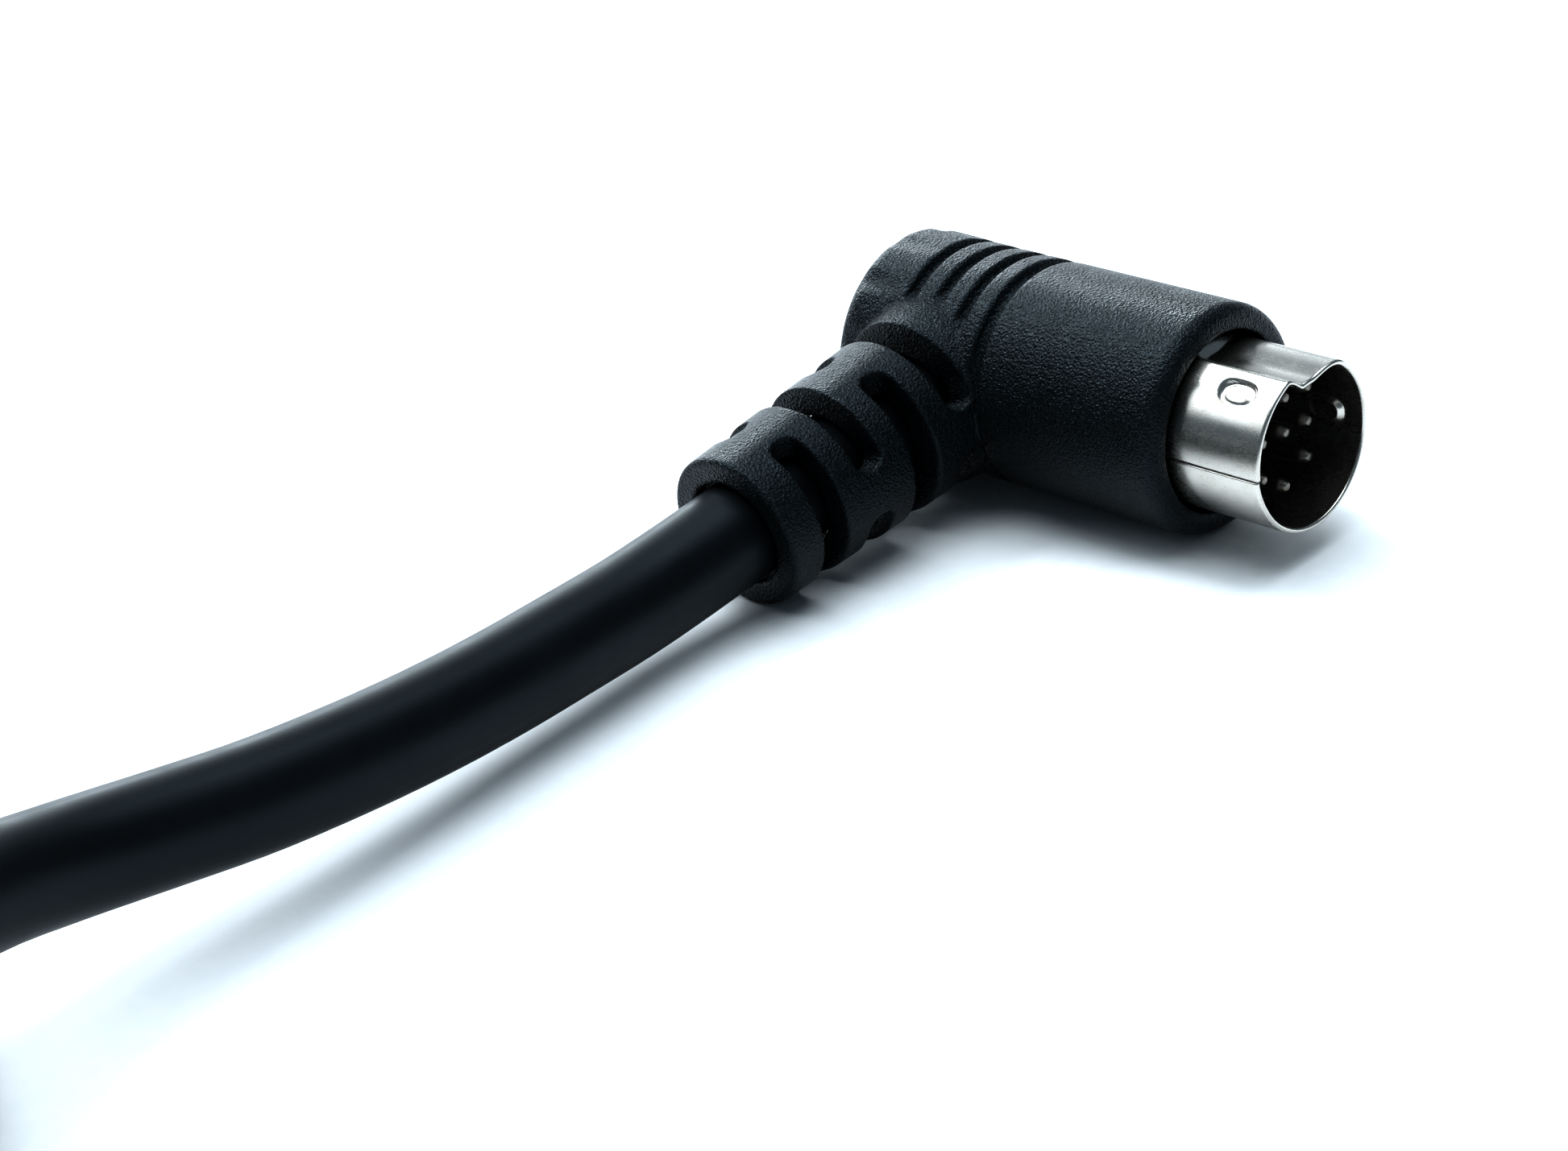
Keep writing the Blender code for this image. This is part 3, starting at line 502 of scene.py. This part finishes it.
def bright_nickel():
    """Metal whose roughness comes from short rolled lines along X and from smudges; its colour hardly changes."""
    made, shader = new_material("bright_nickel_on_steel", "c9c6c1")
    where = add_node(made, "ShaderNodeTexCoord").outputs["Object"]
    drawn = add_node(made, "ShaderNodeMapping", Vector=where, Scale=(0.2, 1.0, 1.0))
    lines = add_node(made, "ShaderNodeTexNoise", Vector=drawn.outputs[0], Scale=1 / (STRIP_LINE * MM), Detail=2.0)
    smudges = add_node(made, "ShaderNodeTexNoise", Vector=where, Scale=1 / (SMUDGE * MM), Detail=4.0, Roughness=0.6)
    mixed = add_node(made, "ShaderNodeMix", {"data_type": "FLOAT"}, n0=0.55, n2=lines.outputs["Fac"],
                     n3=smudges.outputs["Fac"])
    gloss = add_node(made, "ShaderNodeMapRange", Value=mixed.outputs[0], From_Min=0.3, From_Max=0.7,
                     To_Min=0.21, To_Max=0.31)
    tint = add_node(made, "ShaderNodeMix", {"data_type": "RGBA"}, n0=smudges.outputs["Fac"],
                    n6=linear("d2d0cc"), n7=linear("bdb8b0"))
    bump = add_node(made, "ShaderNodeBump", Strength=0.5, Distance=0.002 * MM, Height=lines.outputs["Fac"])
    made.node_tree.links.new(tint.outputs[2], shader.inputs["Base Color"])
    made.node_tree.links.new(gloss.outputs[0], shader.inputs["Roughness"])
    made.node_tree.links.new(bump.outputs[0], shader.inputs["Normal"])
    shader.inputs["Metallic"].default_value = 1.0
    return made


shell_finish = bright_nickel()
print("rolled lines", STRIP_LINE, "mm apart")

# %% [markdown]
# ## The shell: a strip rolled into a ring
#
# The shell is one strip, bent round until its ends meet in a seam. A key is pressed in along its top, and two oval
# dimples grip the socket. A cylinder with cutters would leave the wall uneven, but on the real shell every
# press moves the outside and the inside together. So the sheet is a grid of angle by place across its section, and
# each press is a change of radius that both sides share.

# %% Shell
SEAM_GAP = 0.12
SEAM_ANGLE = math.radians(176)
KEY_SIDES = [math.radians(v) for v in (44, 82, 92, 107)]
KEY_DEPTH = 0.95
KEY_RUN = 6.3
KEY_FADE = 0.4
DIMPLE_ANGLES = (math.radians(122.5), math.radians(351.5))
DIMPLE_SETBACK = 2.5
DIMPLE_HALF = (1.25, 0.83)
DIMPLE_DEPTH = 0.3
DIMPLE_PAD = 0.08
DIMPLE_WALL, PAD_EDGE = 0.76, 0.5
DIMPLE_POWER = 2.6
SEAM_STEP = 0.1


def shell_radius(angle, setback):
    """Outside radius: the round, less a key with one steep side, less two ovals, each with a raised pad on its floor.

    An oval is the sum of two sides' shares to a power, so its ends are squarer than an ellipse's.
    """
    across = eased(angle, KEY_SIDES[0], KEY_SIDES[1]) * (1 - eased(angle, KEY_SIDES[2], KEY_SIDES[3]))
    radius = SHELL_RADIUS - KEY_DEPTH * across * (1 - eased(setback, KEY_RUN, KEY_RUN + KEY_FADE))
    for middle in DIMPLE_ANGLES:
        round_way = SHELL_RADIUS * (np.mod(angle - middle + math.pi, 2 * math.pi) - math.pi) / DIMPLE_HALF[1]
        along = (setback - DIMPLE_SETBACK) / DIMPLE_HALF[0]
        oval = (np.abs(round_way) ** DIMPLE_POWER + np.abs(along) ** DIMPLE_POWER) ** (1 / DIMPLE_POWER)
        pit, pad = 1 - eased(oval, DIMPLE_WALL, 1.0), 1 - eased(oval, PAD_EDGE, DIMPLE_WALL)
        radius = radius - DIMPLE_DEPTH * pit + DIMPLE_PAD * pad
    return radius


def shell_grid(columns=360):
    """The strip's section, outside, round the rim and back inside, carried round from one side of the seam on."""
    half_gap = SEAM_GAP / SHELL_RADIUS / 2
    angle = np.linspace(SEAM_ANGLE + half_gap, SEAM_ANGLE + 2 * math.pi - half_gap, columns)[None, :]
    half_wall = SHELL_WALL / 2
    depth_back = SHELL_TIP - SHELL_REAR
    outside = np.concatenate(([depth_back, 9.0, 7.0], np.arange(6.5, half_wall, -0.1)))
    bend = np.linspace(0, math.pi, 9)
    setback = np.concatenate((outside, half_wall * (1 - np.sin(bend)), outside[::-1]))[:, None]
    inward = np.concatenate((0 * outside, half_wall * (1 - np.cos(bend)), 0 * outside + SHELL_WALL))[:, None]
    radius = shell_radius(np.mod(angle, 2 * math.pi), setback) - inward
    slip = SEAM_STEP * (1 - eased(angle - SEAM_ANGLE, 0, math.radians(30)))
    x = np.broadcast_to(SHELL_TIP - setback, radius.shape) - slip * (setback < depth_back / 2)
    points = np.stack([x, radius * np.cos(angle), radius * np.sin(angle)], axis=-1)
    rows = len(points)
    faces = grid_faces(rows, columns, wrap_rows=True)
    i = np.arange(rows // 2 - 1) if rows % 2 == 0 else np.arange(rows // 2)
    ends = np.stack([i, i + 1, rows - 2 - i, rows - 1 - i], axis=-1) * columns
    return points.reshape(-1, 3), np.vstack([faces, ends, ends[:, ::-1] + columns - 1])


shell_points, shell_faces = shell_grid()
near_shell = mesh_piece("near_rolled_shell", moved(near_place, shell_points), shell_faces, shell_finish)
far_shell = mesh_piece("far_rolled_shell", moved(far_place, shell_points), shell_faces, shell_finish)
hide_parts("near_shell")
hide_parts("far_shell")

# %% [markdown]
# ## Contact pins
#
# The pins are turned from brass rod and plated. Each has a short taper at its tip that finds the socket's hole, and a
# hollow cup behind, where a core is soldered. A turned part is a profile carried round its axis, so one grid makes
# the pin, and copies of it stand at the nine places.

# %% Pins
PIN_PROFILE = np.array((
    (21.30, 0.0), (21.30, 0.19), (21.27, 0.235), (21.20, 0.262), (20.92, 0.372), (20.84, 0.392), (20.74, 0.40),
    (10.9, 0.40), (10.9, 0.55), (8.5, 0.55), (8.5, 0.35), (10.0, 0.35), (10.0, 0.0)))
CONTACT_PITCH = 1.95
CONTACT_HEIGHTS = (2.3, 0.33, -1.72, -2.75)
LAYOUT_TURN = math.radians(-10)


def contact_places():
    """Sideways and up for two rows of three, a pair and a single pin, all turned about the axis with the layout."""
    side = CONTACT_PITCH * np.array((-1, 0, 1, -1, 0, 1, -1, 1, 0))
    height = np.repeat(CONTACT_HEIGHTS, (3, 3, 2, 1))
    c, s = math.cos(LAYOUT_TURN), math.sin(LAYOUT_TURN)
    return np.stack([c * side - s * height, s * side + c * height], axis=-1)


def turned_grid(profile, sides):
    """Each profile point (along, radius) carried round the plug's axis."""
    a = np.linspace(0, 2 * math.pi, sides, endpoint=False)[None, :]
    along, radius = profile[:, :1], profile[:, 1:]
    along = np.broadcast_to(along, (len(profile), sides))
    points = np.stack([along, radius * np.cos(a), radius * np.sin(a)], axis=-1)
    return points.reshape(-1, 3), grid_faces(len(profile), sides, wrap_columns=True)


def plated_brass():
    """Bright plate over turned brass: a warm grey metal with fine turning marks in its roughness."""
    made, shader = new_material("plated_turned_brass", "a39d90")
    where = add_node(made, "ShaderNodeTexCoord").outputs["Object"]
    turned = add_node(made, "ShaderNodeMapping", Vector=where, Scale=(1.0, 0.1, 0.1))
    marks = add_node(made, "ShaderNodeTexNoise", Vector=turned.outputs[0], Scale=1 / (0.06 * MM), Detail=2.0)
    gloss = add_node(made, "ShaderNodeMapRange", Value=marks.outputs["Fac"], From_Min=0.3, From_Max=0.7,
                     To_Min=0.28, To_Max=0.42)
    tint = add_node(made, "ShaderNodeMix", {"data_type": "RGBA"}, n0=marks.outputs["Fac"],
                    n6=linear("8e8b86"), n7=linear("6b6863"))
    made.node_tree.links.new(tint.outputs[2], shader.inputs["Base Color"])
    made.node_tree.links.new(gloss.outputs[0], shader.inputs["Roughness"])
    shader.inputs["Metallic"].default_value = 1.0
    return made


pin_finish = plated_brass()
pin_points, pin_faces = turned_grid(PIN_PROFILE, 24)
for number, (side, height) in enumerate(contact_places(), start=1):
    own = pin_points + np.array((0.0, side, height))
    near_pin = mesh_piece(f"near_pin_{number}", moved(near_place, own), pin_faces, pin_finish)
    far_pin = mesh_piece(f"far_pin_{number}", moved(far_place, own), pin_faces, pin_finish)
    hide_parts(f"near_contact_pin_{number}")
    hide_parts(f"far_contact_pin_{number}")
    for pin in (near_pin, far_pin):
        pin.data.set_sharp_from_angle(angle=math.radians(40))

# %% [markdown]
# ## The cable's jacket
#
# The jacket is soft PVC drawn through a round die, so it is smooth, with a satin sheen, faint lines along its length
# and a few dull scuffs. A curve with a bevel would give the tube, but a section carried along the route in arrays
# also gives it a map of round and along, so the die's lines can follow the cable round the coil.

# %% Cable
def jacket_pvc():
    """Satin black: roughness from lines along the cable on its own map, and from scuffs on Object coordinates."""
    made, shader = new_material("black_pvc_extruded", "090b0e")
    coordinates = add_node(made, "ShaderNodeTexCoord")
    drawn = add_node(made, "ShaderNodeMapping", Vector=coordinates.outputs["UV"], Scale=(1.0, 0.01, 1.0))
    lines = add_node(made, "ShaderNodeTexNoise", Vector=drawn.outputs[0], Scale=60.0, Detail=2.0)
    scuffs = add_node(made, "ShaderNodeTexNoise", Vector=coordinates.outputs["Object"], Scale=1 / (3.5 * MM),
                      Detail=5.0, Roughness=0.65)
    mixed = add_node(made, "ShaderNodeMix", {"data_type": "FLOAT"}, n0=0.7, n2=lines.outputs["Fac"],
                     n3=scuffs.outputs["Fac"])
    gloss = add_node(made, "ShaderNodeMapRange", Value=mixed.outputs[0], From_Min=0.3, From_Max=0.7,
                     To_Min=0.36, To_Max=0.48)
    tint = add_node(made, "ShaderNodeMix", {"data_type": "RGBA"}, n0=scuffs.outputs["Fac"],
                    n6=linear("06080b"), n7=linear("0c0f13"))
    bump = add_node(made, "ShaderNodeBump", Strength=0.3, Distance=0.008 * MM, Height=mixed.outputs[0])
    made.node_tree.links.new(tint.outputs[2], shader.inputs["Base Color"])
    made.node_tree.links.new(gloss.outputs[0], shader.inputs["Roughness"])
    made.node_tree.links.new(bump.outputs[0], shader.inputs["Normal"])
    shader.inputs["Specular IOR Level"].default_value = 0.26
    shader.inputs["Specular Tint"].default_value = linear(SHEEN)
    return made


def swept_tube(line, radius, sides):
    """A round section carried along a line, with both ends closed.

    The section stands across the line's direction. Its two axes are the sideways one, level and across the line,
    and the one at right angles to both. The map's first number goes once round and its second is the length over
    the girth, so the map isn't stretched.
    """
    ahead = np.gradient(line, axis=0)
    ahead /= np.linalg.norm(ahead, axis=1, keepdims=True)
    side = np.cross(ahead, np.array((0.0, 0.0, 1.0)))
    side /= np.linalg.norm(side, axis=1, keepdims=True)
    over = np.cross(side, ahead)
    a = np.linspace(-math.pi / 2, 1.5 * math.pi, sides + 1)[None, :, None]
    ring = radius * (np.cos(a) * side[:, None, :] + np.sin(a) * over[:, None, :])
    tube = line[:, None, :] + ring
    caps = [np.broadcast_to(line[end], (1, sides + 1, 3)) for end in (0, -1)]
    points = np.vstack([caps[0], tube, caps[1]])
    along = np.concatenate(([0.0], np.cumsum(np.linalg.norm(np.diff(line, axis=0), axis=1))))
    along = np.concatenate((along[:1], along, along[-1:])) / (2 * math.pi * radius)
    round_way = np.linspace(0, 1, sides + 1)
    uv = np.stack(np.broadcast_arrays(round_way[None, :], along[:, None]), axis=-1)
    return points.reshape(-1, 3), grid_faces(len(points), sides + 1), uv.reshape(-1, 2)


jacket_finish = jacket_pvc()
tube_points, tube_faces, tube_map = swept_tube(cable_line, CABLE_RADIUS, 40)
cable = mesh_piece("cable", tube_points * MM, tube_faces, jacket_finish, uv=tube_map)
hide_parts("near_cable_lead", "cable_coil", "far_cable_lead")

# %% [markdown]
# ## The coil's strap
#
# A woven nylon strap holds the coil, as such leads are packed, with its end lapped over its start. It is a flat
# section carried along a rounded rectangle that runs on past its start, one thickness further out.

# %% Strap
STRAP_CORNER = 2.0
STRAP_LAP = 13.0
THREAD = 0.45


def strap_line(half_wide, half_high, corner):
    """The rounded rectangle once round and over its start, stepping out by a thickness as it laps."""
    straight_x, straight_z, quarter = 2 * (half_wide - corner), 2 * (half_high - corner), corner * math.pi / 2
    whole = 2 * straight_x + 2 * straight_z + 4 * quarter
    along = np.arange(0, whole + STRAP_LAP, 0.25)
    ends = np.cumsum((straight_z, quarter, straight_x, quarter) * 2)
    starts = np.concatenate(([0.0], ends[:-1]))
    place = np.mod(along, whole)
    part = np.minimum(np.searchsorted(ends, place, side="right"), 7)
    past = place - starts[part]
    turn = (part // 2) * math.pi / 2 + np.where(part % 2 == 1, past / corner, 0.0)
    out = np.stack([np.cos(turn), np.sin(turn)], axis=-1)
    middles = np.array(((half_wide - corner, half_high - corner), (corner - half_wide, half_high - corner),
                        (corner - half_wide, corner - half_high), (half_wide - corner, corner - half_high)))
    side = (part // 2) % 4
    arc_centre = middles[side]
    ahead = np.stack([-out[:, 1], out[:, 0]], axis=-1)
    run_back = np.where(part % 2 == 0, (np.array((straight_z, straight_x) * 2)[side] - past), 0.0)
    flat = arc_centre + corner * out - run_back[:, None] * ahead
    step_out = (STRAP_THICKNESS + 0.05) * eased(along, whole - 2.0, whole + 1.5)
    return flat + step_out[:, None] * out, out, along


def woven_nylon():
    """Two crossed sets of threads as bump on the strap's own map, with painted shade between them, and a dull sheen.
    """
    made, shader = new_material("black_nylon_woven", "1b1d20")
    where = add_node(made, "ShaderNodeTexCoord").outputs["UV"]
    cells = 1 / THREAD
    warp = add_node(made, "ShaderNodeTexWave", {"bands_direction": "X"}, Vector=where, Scale=cells * math.pi / 10)
    weft = add_node(made, "ShaderNodeTexWave", {"bands_direction": "Y"}, Vector=where, Scale=cells * math.pi / 10)
    weave = add_node(made, "ShaderNodeMath", {"operation": "MULTIPLY"}, n0=warp.outputs["Fac"],
                     n1=weft.outputs["Fac"])
    # The colour is painted shade: darker in the gaps between the threads, lighter on their tops.
    tint = add_node(made, "ShaderNodeMix", {"data_type": "RGBA"}, n0=weave.outputs[0],
                    n6=linear("0e0f12"), n7=linear("2a2c31"))
    bump = add_node(made, "ShaderNodeBump", Strength=0.8, Distance=0.08 * MM, Height=weave.outputs[0])
    made.node_tree.links.new(tint.outputs[2], shader.inputs["Base Color"])
    made.node_tree.links.new(bump.outputs[0], shader.inputs["Normal"])
    shader.inputs["Roughness"].default_value = 0.75
    return made


bow = STRAP_WIDTH / 2 * math.tan(math.pi / 24)
strap_half_wide = (COIL_PITCH + 2 * CABLE_RADIUS + bow) / 2 + CLEARANCE
strap_half_high = (LEVEL_STEP + 2 * CABLE_RADIUS) / 2 + CLEARANCE
strap_middle = np.array((coil_centre[0] + COIL_OUTER_RADIUS - (COIL_PITCH + bow) / 2, coil_centre[1],
                         (HIGH_LEVEL + LOW_LEVEL) / 2))


def strap_grid():
    """A flat section with rounded edges, carried along the strap's line and closed at both ends."""
    flat, out, along = strap_line(strap_half_wide, strap_half_high, STRAP_CORNER)
    a = np.linspace(0, 2 * math.pi, 33)
    across = STRAP_WIDTH / 2 * np.sign(np.cos(a)) * np.abs(np.cos(a)) ** 0.25
    thick = STRAP_THICKNESS / 2 * (1 + np.sign(np.sin(a)) * np.abs(np.sin(a)) ** 0.5)
    plan = flat[:, None, :] + thick[None, :, None] * out[:, None, :]
    y = np.broadcast_to(across[None, :], plan.shape[:2])
    body = np.stack([plan[..., 0], y, plan[..., 1]], axis=-1)
    caps = [np.broadcast_to(body[end].mean(axis=0), (1, *body.shape[1:])) for end in (0, -1)]
    points = np.vstack([caps[0], body, caps[1]]) + strap_middle
    along = np.concatenate((along[:1], along, along[-1:]))
    uv = np.stack(np.broadcast_arrays(across[None, :], along[:, None]), axis=-1)
    return points.reshape(-1, 3), grid_faces(len(points), len(a)), uv.reshape(-1, 2)


strap_points, strap_faces, strap_map = strap_grid()
strap = mesh_piece("coil_strap", strap_points * MM, strap_faces, woven_nylon(), uv=strap_map)
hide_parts("coil_tie")

# %% [markdown]
# ## What stays inside
#
# The contact carrier shows at the bottom of the shell, and the joints, the cores and the ferrule are sealed in the
# moulding. Their solids already have the right shape, so they stay as they are and only get their materials: glass
# filled polyester, natural polyethylene, tinned brass, and coloured PVC on the cores.

# %% Inner pieces
def mottled(name, dark, light, size, low_gloss, high_gloss, metal=0.0):
    """A plain material with a mottle of a size in millimetres in its colour, its roughness and a little bump."""
    made, shader = new_material(name, light)
    where = add_node(made, "ShaderNodeTexCoord").outputs["Object"]
    mottle = add_node(made, "ShaderNodeTexNoise", Vector=where, Scale=1 / (size * MM), Detail=3.0)
    tint = add_node(made, "ShaderNodeMix", {"data_type": "RGBA"}, n0=mottle.outputs["Fac"],
                    n6=linear(dark), n7=linear(light))
    gloss = add_node(made, "ShaderNodeMapRange", Value=mottle.outputs["Fac"], From_Min=0.3, From_Max=0.7,
                     To_Min=low_gloss, To_Max=high_gloss)
    bump = add_node(made, "ShaderNodeBump", Strength=0.3, Distance=0.02 * MM, Height=mottle.outputs["Fac"])
    made.node_tree.links.new(tint.outputs[2], shader.inputs["Base Color"])
    made.node_tree.links.new(gloss.outputs[0], shader.inputs["Roughness"])
    made.node_tree.links.new(bump.outputs[0], shader.inputs["Normal"])
    shader.inputs["Metallic"].default_value = metal
    return made


CORE_COLOURS = {"brown": "5a3420", "red": "a01c1c", "orange": "c8621a", "yellow": "cfae22", "green": "2e7a3a",
                "blue": "24509a", "violet": "5f3a86", "grey": "808488", "white": "d8d8d2"}
inner_finishes = {
    "contact_carrier": mottled("black_polyester_glass_filled", "07080a", "0e0f11", 0.3, 0.45, 0.6),
    "inner_mould": mottled("natural_polyethylene", "bdb7a6", "d6d1c4", 0.8, 0.4, 0.55),
    "crimp_ferrule": mottled("tinned_brass", "a9a9a5", "c2c2be", 0.4, 0.25, 0.4, 1.0),
}
for number, (colour, hex_colour) in enumerate(CORE_COLOURS.items(), start=1):
    darker = "".join(f"{int(int(hex_colour[i:i + 2], 16) * 0.82):02x}" for i in (0, 2, 4))
    inner_finishes[f"core_{number}"] = mottled(f"pvc_core_{colour}", darker, hex_colour, 0.3, 0.4, 0.55)
for end in ("near", "far"):
    for node, look in inner_finishes.items():
        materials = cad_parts[f"{end}_{node}"].data.materials
        materials.clear()
        materials.append(look)
print("inner finishes:", len(inner_finishes))

# %% [markdown]
# ## The cable's ends
#
# The cable is one soft piece that starts in the near boot and ends in the far plug.

# %% [markdown]
# ## Table and light
#
# The picture was taken on a white sheet under soft light from the left and above, so bright that the sheet burns out
# to white and only the shadows keep a tone. Each lamp's place follows from a mirror: the view turned about a surface
# gives the direction that the surface shows. The softbox whitens the shell's dimple, the panel behind greys its key,
# the low strip edges the boot, and the lamp overhead lights the sheet. A low gamma keeps the black parts deep.

# %% Table and lights
DAYLIGHT = "f2faff"
AIM = (0.0, -0.02, 0.0)


def soft_lamp(name, place, size, power):
    """A rectangular area lamp at a place in metres, turned towards the plug."""
    lamp = bpy.data.lights.new(name, "AREA")
    lamp.shape = "RECTANGLE"
    lamp.size, lamp.size_y = size
    lamp.energy = power
    lamp.color = linear(DAYLIGHT)[:3]
    holder = bpy.data.objects.new(name, lamp)
    bpy.context.scene.collection.objects.link(holder)
    way = Vector(AIM) - Vector(place)
    holder.matrix_world = Matrix.Translation(place) @ way.to_track_quat("-Z", "Y").to_matrix().to_4x4()
    return holder


sheet_mesh = bpy.data.meshes.new("white_sheet")
sheet_mesh.from_pydata([(-3, -3, 0), (3, -3, 0), (3, 3, 0), (-3, 3, 0)], [], [(0, 1, 2, 3)])
sheet_mesh.materials.append(mottled("white_paper", "eef0f2", "f6f7f8", 1.2, 0.75, 0.9))
sheet = bpy.data.objects.new("white_sheet", sheet_mesh)
bpy.context.scene.collection.objects.link(sheet)

soft_lamp("key_softbox", (-0.47, 0.02, 0.50), (0.3, 0.3), 4.0)
soft_lamp("back_panel", (-0.60, 0.52, 0.30), (0.9, 0.5), 1.2)
soft_lamp("low_strip", (-0.66, 0.40, 0.16), (0.6, 0.12), 3.0)
soft_lamp("left_panel", (-0.50, -0.30, 0.46), (0.5, 0.3), 1.3)
soft_lamp("overhead_fill", (-0.05, 0.05, 0.75), (0.8, 0.8), 9.0)
world = bpy.data.worlds.new("studio")
world.use_nodes = True
world.node_tree.nodes["Background"].inputs["Color"].default_value = linear("b8cede")
world.node_tree.nodes["Background"].inputs["Strength"].default_value = 0.35
bpy.context.scene.world = world
bpy.context.scene.view_settings.view_transform = "Standard"
bpy.context.scene.view_settings.gamma = 0.72
